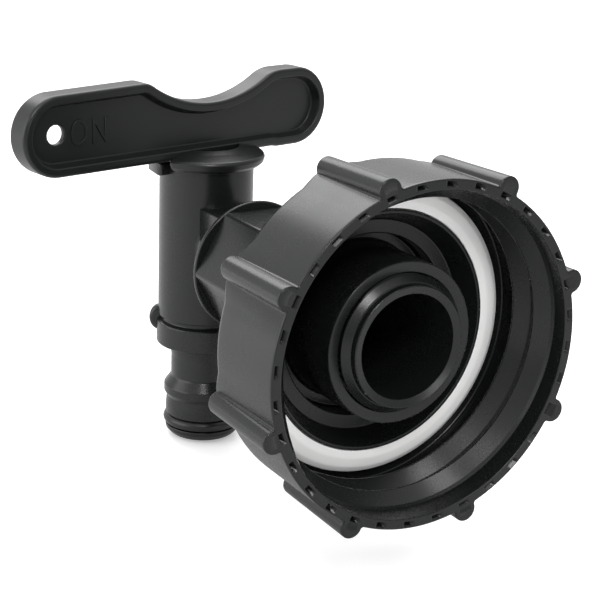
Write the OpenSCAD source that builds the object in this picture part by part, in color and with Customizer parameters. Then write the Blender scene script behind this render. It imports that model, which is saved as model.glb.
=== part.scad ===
// Tap adapter for a bulk liquid container: a coarse-threaded screw cap with a flat sealing washer,
// and a quarter-turn plug tap screwed into the cap's centre, with a quick-connect spigot as its outlet.
// The cap axis lies along Y with the mouth towards -Y. The origin is on that axis, at the front face
// of the sealing washer. The tap's barrel stands along Z behind the cap.

/* [Cap] */
// Radius of the mouth, which is the root of the coarse thread
mouth_radius = 30.25; // [30:0.05:30.6]
// Thickness of the cap's tube at the mouth
tube_wall = 1.95; // [1.7:0.05:3]
// Radial draft of the tube from the mouth to its rear edge
cap_draft = 0.3; // [0:0.05:0.6]
// Depth from the rim to the front face of the washer
cup_depth = 16.2; // [15:0.1:20]
// Thickness of the floor behind the washer
floor_thickness = 2; // [1.5:0.1:3]
// Radius of the rounding at the tube's rear edge
rear_rounding = 2; // [1:0.1:2.4]

/* [Coarse thread] */
// Pitch of the coarse thread
thread_pitch = 6; // [4:0.5:8]
// Radial height of the thread ridge
thread_height = 3.25; // [2:0.05:3.4]
// Width of the flat on the ridge's crest
crest_flat = 0.75; // [0.4:0.05:1.5]
// Angle of the ridge's flank that faces the mouth
front_flank = 30; // [20:1:45]
// Angle of the ridge's steep rear flank
rear_flank = 3; // [0:1:10]
// Distance from the rim to the front flank's foot, on the +X side
thread_start = 3.55; // [2:0.05:6]
// Angle, from +X, of the ridge's blunt end at the mouth
thread_mouth_angle = 300; // [240:5:330]
// Clear run between the ridge's inner end and the washer
thread_relief = 1.2; // [0.6:0.1:3]

/* [Grip lugs and rim] */
// Number of grip lugs round the cap
lug_count = 8; // [6:1:12]
// Radius of each lug
lug_radius = 2.25; // [1.5:0.05:2.6]
// How far outside the tube a lug's axis lies at the rim
lug_stand = 0.5; // [0:0.1:1]
// How far a lug's axis leans inwards on its way to the rear
lug_lean = 0.5; // [0:0.1:1]
// Angle of the first lug from +X
lug_angle = 18; // [0:1:44]
// How far a lug's front end stays behind the rim
lug_setback = 0.1; // [0.05:0.05:1]
// How far a lug's rear end passes the floor's rear face
lug_overrun = 0; // [-0.5:0.1:1]
// Chamfer round a lug's rear end
lug_chamfer = 0.4; // [0.2:0.1:1]
// Number of small pockets in the rim for each lug
pockets_per_lug = 4; // [2:1:5]
// Radial width of a rim pocket
pocket_width = 1; // [0.6:0.1:1.2]
// Length of a rim pocket round the rim
pocket_length = 2.2; // [1:0.1:3]
// Depth of a rim pocket
pocket_depth = 1.2; // [0.5:0.1:3]
// Wall left outside a rim pocket
pocket_margin = 0.4; // [0.3:0.05:0.5]

/* [Sealing washer] */
// Space between the mouth's wall and the washer
washer_gap = 3.25; // [2.5:0.05:4]
// Radial width of the washer
washer_width = 3.6; // [3:0.1:4.5]
// Thickness of the washer
washer_thickness = 2.5; // [1.5:0.1:4]

/* [Cap centre] */
// Clearance between the washer's bore and the lip that centres it
lip_clearance = 0.1; // [0.05:0.05:0.3]
// Wall of the lip inside the washer
lip_wall = 1.2; // [0.8:0.1:1.6]
// How far the lip stands in front of the washer
lip_height = 1.2; // [0.5:0.1:2]
// How much the well's radius tapers from the lip down to its floor
well_taper = 1.9; // [1.4:0.1:2.6]
// Depth of the well's floor behind the washer's face
well_depth = 4.3; // [3.5:0.1:6]
// Radial width of the well's floor
ledge_width = 2.8; // [2.2:0.1:3.4]
// Radial width of the deep groove round the boss
groove_width = 2.13; // [1.7:0.01:2.6]
// Depth of the deep groove's bottom behind the washer's face
groove_depth = 8; // [7:0.1:10]
// Wall of the threaded boss
boss_wall = 1.94; // [1.6:0.01:2.4]
// How far the boss stands in front of the washer's face
boss_height = 7; // [4:0.1:9]
// Thickness of the cap's inner walls
inner_wall = 2; // [1.5:0.1:2.5]
// Clearance between the boss's bore and the tap's pipe thread
boss_clearance = 0.13; // [0.05:0.01:0.25]
// Width of the chamfer at the mouth of the boss
boss_chamfer = 0.4; // [0.2:0.1:0.8]

/* [Tap inlet] */
// Depth of the pipe thread, where it shows past the boss
pipe_thread_depth = 1.1; // [0.9:0.05:1.2]
// Step from the thread's root down to the plain pilot end
pilot_step = 0.32; // [0.1:0.01:0.6]
// How far the inlet passes the boss
inlet_reach = 2.85; // [2:0.05:5]
// Length of the plain pilot end
pilot_length = 1.85; // [1:0.05:1.9]
// Wall of the inlet at its pilot end
inlet_wall = 1.88; // [1.4:0.01:2.6]
// Width of the chamfer at the inlet's mouth
inlet_chamfer = 0.5; // [0.2:0.1:0.8]
// Thickness of the rubber seal between the cap and the tap's flange
inlet_seal_thickness = 2; // [1:0.1:3]
// How far the tap's flange and its seal stand out of the pipe thread
flange_stand = 2.3; // [1.8:0.1:3.8]
// Thickness of the tap's flange
flange_thickness = 2.5; // [2:0.1:4]
// Step from the pipe thread down to the round shank behind the flange
shank_step = 1.5; // [1.2:0.1:1.7]
// Length of the shank between flange and hexagon
shank_length = 13.6; // [8:0.1:16]

/* [Hexagon and neck] */
// How far the hexagon's flats stand out of the shank
flat_stand = 0.3; // [0.2:0.05:1.8]
// Length of the hexagon
hex_length = 18; // [10:0.5:24]
// How far the round disc behind the hexagon stands out of the shank
disc_stand = 2; // [1.3:0.05:2.5]
// Thickness of that disc
disc_thickness = 2.1; // [1.5:0.1:3]
// Thickness of the wall that closes the inlet's bore
bore_end_wall = 3; // [2.2:0.1:5]
// Radius of the water way through the neck and the plug's port
port_radius = 4.4; // [3:0.1:4.6]
// Wall of the neck between disc and barrel
neck_wall = 1.9; // [1.6:0.05:3]
// Distance from the disc to the barrel's axis
neck_reach = 19.3; // [16:0.1:24]

/* [Barrel] */
// Outer radius of the upright barrel
barrel_radius = 10.05; // [9.8:0.05:10.5]
// Height of the barrel's top above the cap axis
barrel_top = 17.5; // [17:0.1:20]
// Wall of the barrel round the chamber that the plug turns in
barrel_wall = 2.05; // [1.9:0.05:2.4]
// Depth of the chamber below the cap axis
chamber_depth = 16; // [15.6:0.1:16.5]
// How far the collar at the barrel's foot stands out of the barrel
collar_stand = 0.3; // [0.1:0.05:0.8]
// Height of the collar
collar_height = 5.1; // [4:0.1:6]
// Depth of the collar's underside below the cap axis
collar_depth = 22.6; // [22:0.1:24]
// Width of the fine groove above the collar
collar_groove = 0.5; // [0.3:0.05:0.8]
// Radius of the half-round ear on the collar's side
ear_radius = 3; // [2:0.1:3.4]
// Thickness of the ear
ear_thickness = 3; // [2:0.1:4]
// Distance from the barrel's side to the ear's centre
ear_stand = 1.95; // [1.4:0.05:2.8]

/* [Outlet spigot] */
// Radius of the spigot's body
spigot_radius = 8.2; // [8.05:0.05:8.3]
// Wall of the spigot's body round the outlet bore
spigot_wall = 3.2; // [3:0.1:4]
// Step from the spigot's body down to its narrow neck
latch_step = 1.1; // [0.9:0.05:1.3]
// Length of the latching neck below the collar
latch_length = 7.7; // [6:0.1:9]
// How far the bead below the latching neck stands out of the body
bead_stand = 0.4; // [0.2:0.05:0.6]
// Height of the cone between the latching neck and the bead
bead_cone = 2.1; // [1.5:0.1:3]
// Height of the bead
bead_height = 1.6; // [1:0.1:2.5]
// Length of the body between the bead and the ring's groove
spigot_length = 5.1; // [3:0.1:7]
// Section radius of the spigot's sealing ring
spigot_ring_section = 1.15; // [0.9:0.05:1.3]
// How far the sealing ring stands out of the spigot's body
spigot_ring_proud = 0.5; // [0.3:0.05:0.7]
// Length of the tip below the groove
tip_length = 2.2; // [1.5:0.1:4]
// Width of the chamfer at the tip
tip_chamfer = 0.8; // [0.4:0.1:1.2]

/* [Stops] */
// Angle by which the lever is turned from its closed stop
lever_turn = 10; // [0:1:45]
// Angle between the closed and the open stop
turn_range = 90; // [60:5:110]
// Angle of the body's stop lug, at its middle, from +X
stop_angle = 173; // [165:1:180]
// Angle that the stop lug takes up
stop_width = 38; // [20:1:45]
// How far the stop lug and the lever's skirt stand out of the barrel
stop_stand = 2.35; // [2:0.05:2.9]
// Height of the stop lug above the barrel's top
stop_height = 1.1; // [0.8:0.1:1.8]
// How far the stop lug reaches down the barrel
stop_depth = 1.5; // [1:0.1:4]
// Free angle between the stop lug and each end of the lever's skirt
stop_gap = 2; // [1:0.5:4]

/* [Plug] */
// Running clearance of the plug in its chamber
plug_clearance = 0.08; // [0.04:0.01:0.1]
// Running clearance of the plug's rings in the chamber
ring_clearance = 0.03; // [0.01:0.01:0.05]
// Clearance between the plug's foot and the chamber's floor
plug_end_gap = 0.6; // [0.4:0.1:1.5]
// Wall of the plug round its hollow
plug_wall = 2.52; // [2.4:0.01:3]
// Height of the hollow above the port
hollow_height = 6; // [4.8:0.1:7]
// Height of the plug's rings above and below the port
ring_height = 9.6; // [8.2:0.1:10.5]
// Width of a ring groove in the plug
ring_groove = 2; // [1.6:0.1:2.4]
// Section depth of the plug's rings
ring_section = 1.5; // [1.2:0.05:1.6]
// Clearance beside a ring in its groove
ring_side_gap = 0.1; // [0.05:0.05:0.2]
// Radial width of the port seal's rubber rim
port_seal_width = 1.5; // [1.2:0.1:1.8]
// Space between the port's edge and the port seal
port_seal_margin = 0.5; // [0.3:0.1:0.8]
// How far the snap bead stands out of the chamber's wall line
snap_height = 0.2; // [0.1:0.05:0.3]
// Length of the snap bead
snap_length = 1; // [0.8:0.1:1.5]
// Clearance round the snap bead in its groove
snap_gap = 0.12; // [0.08:0.01:0.2]

/* [Lever] */
// Distance from the barrel's top up to the lever's lower edge
lever_lift = 1.85; // [1.6:0.05:3]
// Clearance between the barrel's top and the lever's skirt
skirt_gap = 0.1; // [0.08:0.01:0.3]
// Thickness of the lever's rim
lever_thickness = 5.6; // [4.5:0.1:7]
// Thickness of the web inside the rim
web_thickness = 1.4; // [1:0.1:2.5]
// Width of the raised rim
rim_width = 2.3; // [1.6:0.05:2.6]
// Rounding of the rim's outer edges
edge_rounding = 1.5; // [0.5:0.1:1.6]
// Radius of the long end
long_radius = 8.25; // [7.5:0.05:9]
// Distance from the barrel's axis to the centre of the long end
long_reach = 38.5; // [34:0.1:44]
// Slope of the top edge, rising from the long end towards the barrel
top_slope = 1.15; // [0:0.05:2]
// Radius of the short end's knob
knob_radius = 8.6; // [8.2:0.05:9.5]
// Distance from the barrel's axis to the knob's middle
knob_reach = 20.25; // [19:0.05:25]
// Half the length by which the knob is stretched along the lever
knob_stretch = 2.26; // [0.5:0.01:3]
// Height of the knob's middle above the lever's lower edge
knob_height = 8.05; // [7.7:0.05:8.15]
// Radius of the hollow in the lever's top
waist_radius = 27.2; // [24:0.1:30]
// Lowest height of that hollow above the lever's lower edge
waist_height = 11.4; // [11:0.1:12]
// Rounding where the top edge meets the hollow
shoulder_radius = 5; // [4:0.1:6]
// Draft of the recess walls, from the rim's face down to the web
recess_draft = 0.35; // [0.1:0.05:0.5]
// Radius of the lanyard hole
lanyard_radius = 1.95; // [1.2:0.05:2.5]
// How far the lanyard hole lies inwards of the long end's centre
lanyard_inset = 0.3; // [0:0.1:1]
// How far the hub between the plug and the plate stays inside the plug's outline
hub_inset = 0.32; // [0.1:0.01:0.8]
// Chamfer at the skirt's lower edge
skirt_chamfer = 0.7; // [0.3:0.1:1]
// How far the skirt laps over the plate's lower edge
skirt_lap = 0.3; // [0.2:0.05:0.6]
// Step from the skirt's top up to the hub's
hub_step = 0.2; // [0.1:0.05:0.5]

/* [Hidden] */
$fn = 96;

// Plastics and rubbers as they look
black_plastic = [0.06, 0.06, 0.065];
white_washer = [0.93, 0.93, 0.92];
black_rubber = [0.03, 0.03, 0.03];

// Small overlap that makes cuts run clean through
through = 1;

// Places along the cap axis
rim_y = -cup_depth;
seat_y = washer_thickness;
back_y = seat_y + floor_thickness;
boss_back_y = groove_depth + inner_wall;
inlet_front_y = -boss_height - inlet_reach;
flange_y = boss_back_y + inlet_seal_thickness;
shank_y = flange_y + flange_thickness;
hex_y = shank_y + shank_length;
disc_y = hex_y + hex_length;
bore_end_y = disc_y + disc_thickness - bore_end_wall;
barrel_y = disc_y + disc_thickness + neck_reach;

// Radii of the cap, from the mouth outwards and then inwards
cap_radius = mouth_radius + tube_wall;
lug_circle = cap_radius + lug_stand;
washer_radius = mouth_radius - washer_gap;
washer_bore = washer_radius - washer_width;
lip_radius = washer_bore - lip_clearance;
well_radius = lip_radius - lip_wall;
well_floor_radius = well_radius - well_taper;
groove_radius = well_floor_radius - ledge_width;
boss_radius = groove_radius - groove_width;
boss_bore = boss_radius - boss_wall;

// Radii of the tap's inlet, which fits the boss
inlet_radius = boss_bore - boss_clearance;
inlet_root = inlet_radius - pipe_thread_depth;
pilot_radius = inlet_root - pilot_step;
inlet_bore = pilot_radius - inlet_wall;
flange_radius = inlet_radius + flange_stand;
shank_radius = inlet_radius - shank_step;
hex_across_flats = 2 * (shank_radius + flat_stand);
disc_radius = shank_radius + disc_stand;
neck_radius = port_radius + neck_wall;

// Radii of the barrel and the spigot
chamber_radius = barrel_radius - barrel_wall;
collar_radius = barrel_radius + collar_stand;
ear_offset = barrel_radius + ear_stand;
stop_radius = barrel_radius + stop_stand;
outlet_bore = spigot_radius - spigot_wall;
latch_radius = spigot_radius - latch_step;
bead_radius = spigot_radius + bead_stand;

// Thread ridge, as a section of four points swept along the helix
crest_radius = mouth_radius - thread_height;
ridge_root = 0.35;
ridge_width = thread_height * (tan(front_flank) + tan(rear_flank)) + crest_flat;
steps_per_turn = 40;
fade_steps = 5;
rim_relief = 0.05;
thread_inner_angle = 360 * (thread_start + ridge_width + thread_relief - cup_depth) / thread_pitch;
ridge_turns = (thread_mouth_angle - thread_inner_angle) / 360;
ridge_steps = ceil(ridge_turns * steps_per_turn);

// Levels of the barrel and the spigot, downwards from the cap axis
collar_top_z = collar_height - collar_depth;
latch_z = -collar_depth - latch_length;
bead_z = latch_z - bead_cone;
spigot_z = bead_z - bead_height;
ring_top_z = spigot_z - spigot_length;
ring_slot = 2 * spigot_ring_section + 2 * ring_side_gap;
ring_bottom_z = ring_top_z - ring_slot;
tip_z = ring_bottom_z - tip_length;
spigot_ring_radius = spigot_radius + spigot_ring_proud - spigot_ring_section;
ring_seat_radius = spigot_ring_radius - spigot_ring_section - 0.03;

// Plug and its rings
plug_radius = chamber_radius - plug_clearance;
plug_hollow = plug_radius - plug_wall;
hub_radius = plug_radius - hub_inset;
ring_radius = chamber_radius - ring_clearance;
ring_floor = ring_radius - ring_section;
plug_foot_z = plug_end_gap - chamber_depth;
snap_z = plug_foot_z + snap_length / 2;
seal_inner = port_radius + port_seal_margin;
seal_outer = seal_inner + port_seal_width;

// Turn of the lever's long end from +X, and the gap in its skirt
long_angle = 180 + lever_turn;
skirt_gap_from = stop_angle - stop_width / 2 - (turn_range - lever_turn) - stop_gap;
skirt_gap_to = stop_angle + stop_width / 2 + lever_turn + stop_gap;
lever_base = barrel_top + lever_lift;
skirt_z = barrel_top + skirt_gap;
skirt_top = lever_base + skirt_lap;

// Outline of the lever: u runs from the barrel's axis to the knob, v upwards from the lever's base.
// The shoulder's circle touches the sloping top edge and the waist's circle.
knob_left = knob_reach - knob_stretch;
knob_right = knob_reach + knob_stretch;
waist_v = waist_height + waist_radius;
waist_u = knob_left - sqrt(pow(waist_radius + knob_radius, 2) - pow(waist_v - knob_height, 2));
top_way = [cos(top_slope), sin(top_slope)];
top_out = [-sin(top_slope), cos(top_slope)];
shoulder_line = [-long_reach, long_radius] + (long_radius - shoulder_radius) * top_out;
waist_from_line = [waist_u, waist_v] - shoulder_line;
shoulder_run = waist_from_line * top_way
    - sqrt(pow(waist_radius + shoulder_radius, 2) - pow(waist_from_line * top_out, 2));
shoulder = shoulder_line + shoulder_run * top_way;
knob_tangent = atan2(waist_v - knob_height, waist_u - knob_left);
shoulder_tangent = atan2(waist_v - shoulder[1], waist_u - shoulder[0]);

// Steps in each stretch of the outline. The lower edge has as many as the upper one.
long_steps = 20;
foot_steps = 3;
knob_steps = 30;
crown_steps = 6;
waist_steps = 14;
shoulder_steps = 5;
base_steps = crown_steps + waist_steps + shoulder_steps + 1 - foot_steps;

// Points of an arc about (cu, cv), both ends included
function arc(cu, cv, r, from, to, steps) =
    [for (i = [0 : steps]) let (a = from + (to - from) * i / steps) [cu + r * cos(a), cv + r * sin(a)]];

// The same points without the two ends
function between(points) = [for (i = [1 : len(points) - 2]) points[i]];

// Lever outline moved inwards by inset, with the same number of points for any inset
function lever_outline(inset) =
    let (
        knob_r = knob_radius - inset,
        foot_from = -180 - asin((inset - knob_height) / knob_r),
        long_end = arc(-long_reach, long_radius, long_radius - inset, 90 + top_slope, 270, long_steps),
        foot = arc(knob_left, knob_height, knob_r, foot_from, -90, foot_steps),
        base_run = foot[0] - long_end[long_steps],
        waist = arc(
            waist_u, waist_v, waist_radius + inset, knob_tangent - 180, shoulder_tangent - 180, waist_steps
        ),
        crest = arc(
            shoulder[0], shoulder[1], shoulder_radius - inset, shoulder_tangent, 90 + top_slope,
            shoulder_steps
        )
    )
    concat(
        long_end,
        [for (i = [1 : base_steps - 1]) long_end[long_steps] + base_run * i / base_steps],
        foot,
        arc(knob_right, knob_height, knob_r, -90, 90, knob_steps),
        arc(knob_left, knob_height, knob_r, 90, knob_tangent, crown_steps),
        between(waist),
        crest
    );

// Turns a part made along +Z so that it lies along +Y on the cap axis
module on_cap_axis() {
    rotate([-90, 0, 0]) children();
}

// Moves a part made round the origin to the barrel's axis
module at_barrel() {
    translate([0, barrel_y, 0]) children();
}

// Annular wedge between two angles, between two heights
module ring_sector(inner, outer, low, high, from, to) {
    rotate([0, 0, from])
        translate([0, 0, low])
            rotate_extrude(angle = to - from)
                translate([inner, 0])
                    square([outer - inner, high - low]);
}

// Half section of the cap's revolved body: radius across, cap axis upwards
module cap_section() {
    tube_back = cap_radius - cap_draft;
    difference() {
        union() {
            // Tube wall with its rounded rear edge
            difference() {
                polygon([
                    [mouth_radius, rim_y], [cap_radius, rim_y],
                    [tube_back, back_y], [mouth_radius, back_y]
                ]);
                translate([tube_back - rear_rounding, back_y - rear_rounding])
                    difference() {
                        square(rear_rounding + through);
                        circle(rear_rounding);
                    }
            }
            // Floor behind the washer
            translate([well_floor_radius, seat_y])
                square([mouth_radius - well_floor_radius + 0.2, floor_thickness]);
            // Lip and tapering wall of the well
            polygon([
                [well_radius, -lip_height], [lip_radius, -lip_height],
                [lip_radius, well_depth + inner_wall], [groove_radius, well_depth + inner_wall],
                [groove_radius, well_depth], [well_floor_radius, well_depth]
            ]);
            // Walls of the deep groove
            translate([groove_radius, well_depth])
                square([inner_wall, boss_back_y - well_depth]);
            translate([boss_bore, groove_depth])
                square([groove_radius + inner_wall - boss_bore, inner_wall]);
            // Threaded boss
            translate([boss_bore, -boss_height])
                square([boss_radius - boss_bore, boss_height + boss_back_y]);
        }
        // Chamfer at the mouth of the boss
        polygon([
            [boss_bore - through, -boss_height - through],
            [boss_bore + boss_chamfer, -boss_height - through],
            [boss_bore + boss_chamfer, -boss_height],
            [boss_bore, -boss_height + boss_chamfer],
            [boss_bore - through, -boss_height + boss_chamfer]
        ]);
    }
}

// One section of the thread ridge at step i, as radius and place along the cap axis
function ridge_points(i) =
    let (
        angle = thread_mouth_angle - i * 360 / steps_per_turn,
        foot = rim_y + thread_start - thread_pitch * angle / 360,
        fade = min(1, max(0.1, (ridge_steps - i) / fade_steps)),
        h = thread_height * fade,
        outer = mouth_radius + ridge_root,
        front = foot + h * tan(front_flank),
        section = [
            [outer, foot - ridge_root * tan(front_flank)],
            [mouth_radius - h, front],
            [mouth_radius - h, front + crest_flat],
            [outer, front + crest_flat + (h + ridge_root) * tan(rear_flank)]
        ]
    )
    [for (p = section) [p[0] * cos(angle), -p[0] * sin(angle), max(rim_y + rim_relief, p[1])]];

module thread_ridge() {
    corners = 4;
    points = [for (i = [0 : ridge_steps]) each ridge_points(i)];
    sides = [
        for (i = [0 : ridge_steps - 1]) for (k = [0 : corners - 1])
            let (a = i * corners + k, b = i * corners + (k + 1) % corners)
            each [[a, b + corners, b], [a, a + corners, b + corners]]
    ];
    last = ridge_steps * corners;
    ends = [[0, 1, 2], [0, 2, 3], [last, last + 2, last + 1], [last, last + 3, last + 2]];
    polyhedron(points = points, faces = concat(sides, ends));
}

// Lug along the tube, leaning a little inwards to the rear, with a chamfer round its rear end
module grip_lug() {
    front = rim_y + lug_setback;
    lug_length = back_y + lug_overrun - front;
    translate([lug_circle, 0, front])
        rotate([0, -atan2(lug_lean, lug_length), 0])
            rotate_extrude($fn = 32)
                polygon([
                    [0, 0], [lug_radius, 0], [lug_radius, lug_length - lug_chamfer],
                    [lug_radius - lug_chamfer, lug_length], [0, lug_length]
                ]);
}

module cap() {
    lug_pitch = 360 / lug_count;
    pocket_pitch = lug_pitch / pockets_per_lug;
    pocket_radius = cap_radius - pocket_margin - pocket_width;
    color(black_plastic)
        on_cap_axis()
            union() {
                difference() {
                    union() {
                        rotate_extrude() cap_section();
                        for (i = [0 : lug_count - 1])
                            rotate([0, 0, -lug_angle - i * lug_pitch]) grip_lug();
                    }
                    for (i = [0 : lug_count * pockets_per_lug - 1])
                        rotate([0, 0, -lug_angle - i * pocket_pitch])
                            translate([pocket_radius, -pocket_length / 2, rim_y - through])
                                cube([pocket_width, pocket_length, pocket_depth + through]);
                }
                thread_ridge();
            }
}

module sealing_washer() {
    color(white_washer)
        on_cap_axis()
            rotate_extrude()
                translate([washer_bore, 0]) square([washer_radius - washer_bore, washer_thickness]);
}

module inlet_seal() {
    color(black_rubber)
        on_cap_axis()
            rotate_extrude()
                translate([boss_bore, boss_back_y])
                    square([flange_radius - boss_bore, inlet_seal_thickness]);
}

// Half section of everything on the tap that is round about the cap axis
module inlet_section() {
    thread_y = inlet_front_y + pilot_length;
    root_y = -boss_height + 0.5;
    disc_back_y = disc_y + disc_thickness;
    polygon([
        [0, inlet_front_y], [pilot_radius - inlet_chamfer / 2, inlet_front_y],
        [pilot_radius, inlet_front_y + inlet_chamfer / 2], [pilot_radius, thread_y],
        [inlet_root, thread_y], [inlet_root, root_y],
        [inlet_radius, root_y + inlet_radius - inlet_root], [inlet_radius, flange_y],
        [flange_radius, flange_y], [flange_radius, shank_y],
        [shank_radius, shank_y], [shank_radius, disc_y],
        [disc_radius, disc_y], [disc_radius, disc_back_y - 0.3],
        [disc_radius - 0.3, disc_back_y], [neck_radius, disc_back_y],
        [neck_radius, barrel_y], [0, barrel_y]
    ]);
}

// Half section of the barrel and the spigot, with the cap axis at height zero
module barrel_section() {
    polygon([
        [0, barrel_top], [barrel_radius, barrel_top],
        [barrel_radius, collar_top_z + collar_groove],
        [barrel_radius - collar_groove / 2, collar_top_z + collar_groove / 2],
        [barrel_radius, collar_top_z], [collar_radius, collar_top_z],
        [collar_radius, -collar_depth], [latch_radius + 0.2, -collar_depth],
        [latch_radius, -collar_depth - 3], [latch_radius, latch_z],
        [bead_radius, bead_z], [bead_radius, spigot_z],
        [spigot_radius - 0.15, spigot_z - 0.8], [spigot_radius, spigot_z - 1.8],
        [spigot_radius, ring_top_z], [ring_seat_radius, ring_top_z],
        [ring_seat_radius, ring_bottom_z], [spigot_radius, ring_bottom_z],
        [spigot_radius, tip_z + tip_chamfer * 1.5], [spigot_radius - tip_chamfer, tip_z],
        [0, tip_z]
    ]);
}

module tap_body() {
    snap_groove = snap_height + snap_gap;
    color(black_plastic)
        difference() {
            union() {
                on_cap_axis() rotate_extrude() inlet_section();
                on_cap_axis()
                    translate([0, 0, hex_y])
                        cylinder(r = hex_across_flats / sqrt(3), h = hex_length, $fn = 6);
                at_barrel() rotate_extrude() barrel_section();
                at_barrel()
                    translate([-ear_offset, 0, collar_top_z + collar_groove])
                        rotate([90, 0, 0])
                            cylinder(r = ear_radius, h = ear_thickness, center = true);
                at_barrel()
                    translate([-ear_offset, -ear_thickness / 2, collar_top_z + collar_groove - ear_radius])
                        cube([ear_offset - chamber_radius - 0.8, ear_thickness, 2 * ear_radius]);
                at_barrel()
                    ring_sector(
                        barrel_radius - 1, stop_radius, barrel_top - stop_depth, barrel_top + stop_height,
                        stop_angle - stop_width / 2, stop_angle + stop_width / 2
                    );
            }
            // Inlet bore with its chamfer, and the water way into the chamber
            on_cap_axis()
                translate([0, 0, inlet_front_y - through])
                    cylinder(r = inlet_bore, h = bore_end_y - inlet_front_y + through);
            on_cap_axis()
                translate([0, 0, inlet_front_y - through])
                    cylinder(
                        r1 = inlet_bore + inlet_chamfer + through, r2 = inlet_bore,
                        h = inlet_chamfer + through
                    );
            on_cap_axis()
                translate([0, 0, bore_end_y - through])
                    cylinder(r = port_radius, h = barrel_y - bore_end_y + through);
            // Chamber for the plug, with the groove for its snap bead
            at_barrel()
                translate([0, 0, -chamber_depth])
                    cylinder(r = chamber_radius, h = chamber_depth + barrel_top + through);
            at_barrel()
                translate([0, 0, snap_z - snap_length / 2 - snap_gap])
                    cylinder(r = chamber_radius + snap_groove, h = snap_length + 2 * snap_gap);
            // Outlet bore
            at_barrel()
                translate([0, 0, tip_z - through])
                    cylinder(r = outlet_bore, h = -chamber_depth - tip_z + 2 * through);
        }
}

module spigot_ring() {
    color(black_rubber)
        at_barrel()
            translate([0, 0, (ring_top_z + ring_bottom_z) / 2])
                rotate_extrude()
                    translate([spigot_ring_radius, 0]) circle(spigot_ring_section, $fn = 32);
}

// A body made round the port's axis, which points along the lever's long end
module towards(angle) {
    rotate([0, 0, angle]) rotate([0, 90, 0]) children();
}

// Saddle-shaped ring between two radii about its own axis, and between two about the barrel's
module saddle_ring(inner, outer, low, high) {
    difference() {
        towards(long_angle + 90)
            difference() {
                cylinder(r = outer, h = high);
                translate([0, 0, -through]) cylinder(r = inner, h = high + 2 * through);
            }
        translate([0, 0, -outer - through]) cylinder(r = low, h = 2 * (outer + through));
        difference() {
            translate([0, 0, -outer - through]) cylinder(r = 2 * high, h = 2 * (outer + through));
            translate([0, 0, -outer - 2 * through]) cylinder(r = high, h = 2 * (outer + 2 * through));
        }
    }
}

// Plate of the lever, standing up from its base line: rings of the outline, each moved inwards by a
// share of the rim, from one recess floor over the rounded edge to the other
module lever_plate() {
    half = lever_thickness / 2;
    r = edge_rounding;
    side_rings = [
        [rim_width + recess_draft, web_thickness / 2], [rim_width, half], [r, half],
        [r * (1 - sin(45)), half - r * (1 - cos(45))], [0, half - r]
    ];
    count = len(side_rings);
    rings = concat(
        side_rings,
        [for (i = [count - 1 : -1 : 0]) [side_rings[i][0], -side_rings[i][1]]]
    );
    n = len(lever_outline(0));
    points = [for (ring = rings) for (p = lever_outline(ring[0])) [p[0], p[1], ring[1]]];
    last = (len(rings) - 1) * n;
    sides = [
        for (j = [0 : len(rings) - 2]) for (i = [0 : n - 1])
            let (a = j * n + i, b = j * n + (i + 1) % n)
            each [[a, b, b + n], [a, b + n, a + n]]
    ];
    // Each web is laid in strips between the upper and the lower edge, from the tip of the long end
    tip = long_steps / 2;
    strips = [
        for (k = [0 : n / 2 - 1])
            let (low = tip + k, up = (n + tip - k) % n, next_up = (n + tip - k - 1) % n)
            k == 0 ? [up, next_up, low + 1] :
            k == n / 2 - 1 ? [up, low + 1, low] :
            [up, next_up, low + 1, low]
    ];
    webs = concat(
        strips,
        [for (strip = strips) [for (i = [len(strip) - 1 : -1 : 0]) last + strip[i]]]
    );
    difference() {
        polyhedron(points = points, faces = concat(sides, webs), convexity = 6);
        translate([lanyard_inset - long_reach, long_radius, -lever_thickness])
            cylinder(r = lanyard_radius, h = 2 * lever_thickness);
    }
}

module lever() {
    snap_radius = chamber_radius + snap_height;
    color(black_plastic)
        at_barrel()
            difference() {
                union() {
                    rotate([0, 0, lever_turn])
                        translate([0, 0, lever_base])
                            rotate([90, 0, 0]) lever_plate();
                    // Hub, skirt and plug
                    translate([0, 0, skirt_z])
                        cylinder(r = hub_radius, h = skirt_top + hub_step - skirt_z);
                    rotate([0, 0, skirt_gap_to])
                        rotate_extrude(angle = 360 + skirt_gap_from - skirt_gap_to)
                            polygon([
                                [hub_radius - 1, skirt_z], [stop_radius - skirt_chamfer, skirt_z],
                                [stop_radius, skirt_z + skirt_chamfer], [stop_radius, skirt_top],
                                [hub_radius - 1, skirt_top]
                            ]);
                    translate([0, 0, plug_foot_z])
                        cylinder(r = plug_radius, h = skirt_z - plug_foot_z + 0.5);
                    translate([0, 0, snap_z])
                        rotate_extrude()
                            translate([plug_hollow + 0.8, -snap_length / 2])
                                square([snap_radius - plug_hollow - 0.8, snap_length]);
                }
                // Hollow with its port, and the grooves for the rings and the port seal
                translate([0, 0, plug_foot_z - through])
                    cylinder(r = plug_hollow, h = hollow_height - plug_foot_z + through);
                towards(long_angle) cylinder(r = port_radius, h = 2 * chamber_radius);
                for (z = [ring_height, -ring_height])
                    translate([0, 0, z])
                        rotate_extrude()
                            translate([ring_floor, -ring_groove / 2])
                                square([chamber_radius, ring_groove]);
                saddle_ring(
                    seal_inner - ring_side_gap, seal_outer + ring_side_gap, ring_floor, 2 * chamber_radius
                );
            }
}

// Rubber ring in a plug groove at the given height
module plug_ring(z) {
    color(black_rubber)
        at_barrel()
            translate([0, 0, z])
                rotate_extrude()
                    translate([ring_floor, ring_side_gap - ring_groove / 2])
                        square([ring_section, ring_groove - 2 * ring_side_gap]);
}

module plug_upper_ring() {
    plug_ring(ring_height);
}

module plug_lower_ring() {
    plug_ring(-ring_height);
}

module port_seal() {
    color(black_rubber)
        at_barrel() saddle_ring(seal_inner, seal_outer, ring_floor, ring_radius);
}

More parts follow.
